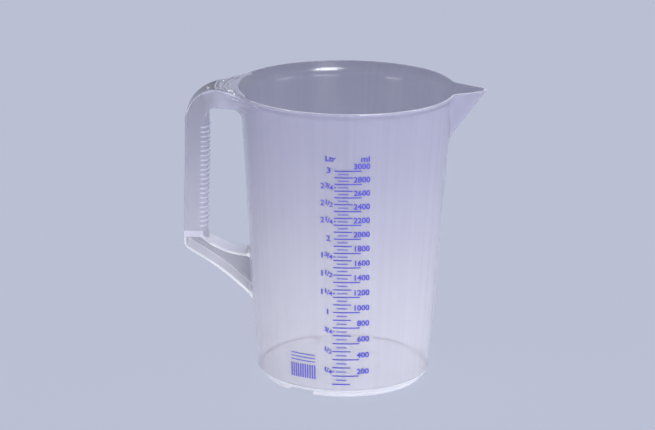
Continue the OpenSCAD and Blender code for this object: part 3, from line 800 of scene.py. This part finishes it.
def inkText(text, height, left=None, right=None, width=None, middle=0, bolder=numerals["bolder"]):
    curve = bpy.data.curves.new("inkText", "FONT")
    curve.body = text
    curve.resolution_u = numerals["curveSteps"]
    curve.extrude = 0.5                                # any depth will do, the ink's own is set below
    curve.offset = bolder
    obj = bpy.data.objects.new("inkText", curve)
    bpy.context.scene.collection.objects.link(obj)
    mesh = bpy.data.meshes.new_from_object(obj.evaluated_get(bpy.context.evaluated_depsgraph_get()))
    bpy.data.objects.remove(obj)
    bpy.data.curves.remove(curve)
    work = bmesh.new()
    work.from_mesh(mesh)
    bmesh.ops.remove_doubles(work, verts=work.verts, dist=1e-5)
    work.verts.index_update()
    points = np.array([v.co[:] for v in work.verts])
    faces = [tuple(v.index for v in f.verts) for f in work.faces]
    work.free()
    bpy.data.meshes.remove(mesh)
    low, high = points.min(0), points.max(0)
    scaleY = height / (high[1] - low[1])
    scaleX = width / (high[0] - low[0]) if width else scaleY * numerals["stretch"]
    across = (points[:, 0] - low[0]) * scaleX
    shift = left if left is not None else right - (high[0] - low[0]) * scaleX
    points[:, 0] = across + shift
    points[:, 1] = (points[:, 1] - (low[1] + high[1]) / 2) * scaleY + middle
    points[:, 2] = np.where(points[:, 2] > 0, numerals["inkProud"], -numerals["inkDepth"])
    return points, faces


def printOnWall(name, words):
    wrapped = []
    for z0, (points, faces) in words:
        z = z0 + points[:, 1]
        angle = math.radians(numerals["azimuthDeg"]) + (numerals["lineLeft"] + points[:, 0]) / wallR(z0)
        radius = wallR(z) + points[:, 2]
        wrapped.append((np.stack([radius * np.cos(angle), radius * np.sin(angle), z], 1), faces))
    obj = meshFromArrays(name, *stacked(wrapped))
    giveMaterial(obj, ink)
    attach(obj, "root")
    print(name + ":", len(obj.data.polygons), "faces")


def fractionWords(whole, part, z):
    f = fractions
    shift = f["lowShift"] * (1 - z / fillZ(fullLitres * 1000))

    def glyph(text, height, span, lift, narrowOne=0):
        narrow = narrowOne if text == "1" else 0
        left, right = span[0] + narrow, span[1] - narrow
        return z, inkText(text, height, left=left + shift, width=right - left, middle=lift, bolder=f["bolder"])

    if not part:
        return [glyph(str(whole), f["wholeHeight"], f["aloneX"], f["aloneLift"], f["narrowAlone"])]
    top, low = part.split("/")
    words = [glyph(top, f["partHeight"], f["topX"], f["topLift"], f["narrowTop"]),
             glyph("/", f["slashHeight"], f["slashX"], f["slashLift"]),
             glyph(low, f["partHeight"], f["lowX"], f["lowLift"])]
    if whole:
        words.append(glyph(str(whole), f["wholeHeight"], f["wholeX"], f["wholeLift"], f["narrowWhole"]))
    return words


def makeNumerals():
    words, first = [], numerals["stepMl"]
    for ml in range(first, fullLitres * 1000 + 1, first):
        share = (ml - first) / (fullLitres * 1000 - first)
        right = numerals["rightLow"] + (numerals["rightTop"] - numerals["rightLow"]) * share
        words.append((fillZ(ml) + numerals["lift"], inkText(str(ml), numerals["height"], right=right)))
    printOnWall("mlNumerals", words)
    words = []
    for whole, part in litreRows:
        amount = whole + (int(part[0]) / int(part[2]) if part else 0)
        words += fractionWords(whole, part, fillZ(amount * 1000))
    printOnWall("litreNumerals", words)
    printOnWall("unitLetters", [(unitsZ, inkText(word, **place)) for word, place in units.items()])


makeNumerals()

# Studio: floor, lamps and camera
studio = {
    "floorSize": 12, "floorColour": (0.1, 0.105, 0.125, 1), "floorRoughness": 0.95,
    "backColour": (0.485, 0.515, 0.638, 1), "floorGlow": 0.95,         # the floor glows like the backdrop
    "zenith": 0.31, "horizon": 0.45, "zenithColour": (0.76, 0.80, 1.0, 1), "horizonColour": (1, 1, 1, 1),
    "skyTop": 0.8, "lampAimZ": 0.12,
}
lamps = {                                              # the last two show only in reflections
    "frontKey": {"towards": (0.42, -0.90, 0), "distance": 2.4, "size": (1.2, 0.22), "power": 35,
                 "colour": (0.97, 0.98, 1.0), "glossOnly": False},
    "leftFill": {"towards": (-0.82, -0.57, 0), "distance": 2.2, "size": (1.0, 0.22), "power": 18.5,
                 "colour": (1.0, 0.975, 0.95), "glossOnly": False},
    "rightFill": {"towards": (0.97, -0.20, 0), "distance": 2.2, "size": (1.0, 0.22), "power": 18,
                  "colour": (0.97, 0.98, 1.0), "glossOnly": False},
    "backStrip": {"towards": (0.12, 0.958, 0.24), "distance": 2.0, "size": (1.1, 0.5), "power": 2.2,
                  "colour": (0.74, 0.78, 1.0), "glossOnly": True},
    "overheadSoftbox": {"towards": (0.27, -0.38, 0.90), "distance": 1.6, "size": (0.62, 0.62), "power": 32,
                        "colour": (0.95, 0.97, 1.0), "glossOnly": True},
}
camera = {"elevation": 0.291, "turn": 1.5, "roll": 0.01, "distance": 1978.015, "aimZ": 110, "shiftX": 13.86,
          "shiftY": 17.687, "focalPx": 2502.259, "framePx": 655, "sensor": 36}


def makeFloor():
    half = studio["floorSize"] / 2
    mesh = bpy.data.meshes.new("studioFloor")
    mesh.from_pydata([(-half, -half, 0), (half, -half, 0), (half, half, 0), (-half, half, 0)], [], [(0, 1, 2, 3)])
    floor = bpy.data.objects.new("studioFloor", mesh)
    bpy.context.scene.collection.objects.link(floor)
    mat, tree, shader = newMaterial("paleFloor")
    setInputs(shader, {"Base Color": studio["floorColour"], "Roughness": studio["floorRoughness"],
                       "Specular IOR Level": 0, "Emission Color": studio["backColour"],
                       "Emission Strength": studio["floorGlow"]})
    giveMaterial(floor, mat)


def makeLamps():
    for name, lamp in lamps.items():
        data = bpy.data.lights.new(name, "AREA")
        data.shape = "ELLIPSE"
        data.size, data.size_y = lamp["size"]
        data.energy = lamp["power"]
        data.color = lamp["colour"]
        obj = bpy.data.objects.new(name, data)
        direction = Vector(lamp["towards"]).normalized()
        obj.location = direction * lamp["distance"] + Vector((0, 0, studio["lampAimZ"]))
        obj.rotation_euler = direction.to_track_quat("Z", "Y").to_euler()
        obj.visible_diffuse = not lamp["glossOnly"]
        bpy.context.scene.collection.objects.link(obj)


def makeWorld():
    world = bpy.data.worlds.new("studioWorld")
    bpy.context.scene.world = world
    world.use_nodes = True
    tree = world.node_tree
    light = tree.nodes["Background"]
    place = addNode(tree, "ShaderNodeTexCoord")
    split = addNode(tree, "ShaderNodeSeparateXYZ")
    tree.links.new(place.outputs["Generated"], split.inputs["Vector"])
    rise = (0, studio["skyTop"])                       # brighter and whiter at the horizon, dim and cooler above
    fade = mapRange(tree, split.outputs["Z"], rise, (studio["horizon"], studio["zenith"]), smooth=True)
    tree.links.new(fade.outputs["Result"], light.inputs["Strength"])
    cooler = mapRange(tree, split.outputs["Z"], rise, smooth=True)
    sky = mixColours(tree, cooler.outputs["Result"], studio["horizonColour"], studio["zenithColour"])
    tree.links.new(sky, light.inputs["Color"])
    seen = addNode(tree, "ShaderNodeBackground")
    seen.inputs["Color"].default_value = studio["backColour"]
    ray = addNode(tree, "ShaderNodeLightPath")
    pick = addNode(tree, "ShaderNodeMixShader")
    tree.links.new(ray.outputs["Is Camera Ray"], pick.inputs["Fac"])
    tree.links.new(light.outputs["Background"], pick.inputs[1])
    tree.links.new(seen.outputs["Background"], pick.inputs[2])
    tree.links.new(pick.outputs["Shader"], tree.nodes["World Output"].inputs["Surface"])


def makeCamera():
    e, roll = camera["elevation"], camera["roll"]
    forward = Vector((0, math.cos(e), -math.sin(e)))
    right, up = Vector((1, 0, 0)), Vector((0, math.sin(e), math.cos(e)))
    spot = Vector((0, 0, camera["aimZ"])) - forward * camera["distance"]
    spot += up * camera["shiftY"] - right * camera["shiftX"]
    rolledRight = right * math.cos(roll) + up * math.sin(roll)
    rolledUp = up * math.cos(roll) - right * math.sin(roll)
    turn = Matrix.Rotation(math.radians(camera["turn"]), 3, "Z")
    axes = Matrix((turn @ rolledRight, turn @ rolledUp, turn @ -forward)).transposed()
    data = bpy.data.cameras.new("photoCamera")
    data.sensor_width = camera["sensor"]
    data.lens = camera["focalPx"] * camera["sensor"] / camera["framePx"]
    obj = bpy.data.objects.new("photoCamera", data)
    obj.matrix_world = Matrix.Translation((turn @ spot + Vector((axisX, 0, 0))) * mm) @ axes.to_4x4()
    bpy.context.scene.collection.objects.link(obj)
    bpy.context.scene.camera = obj


makeFloor()
makeLamps()
makeWorld()
makeCamera()
bpy.context.scene.view_settings.view_transform = "Standard"
print("studio ready")
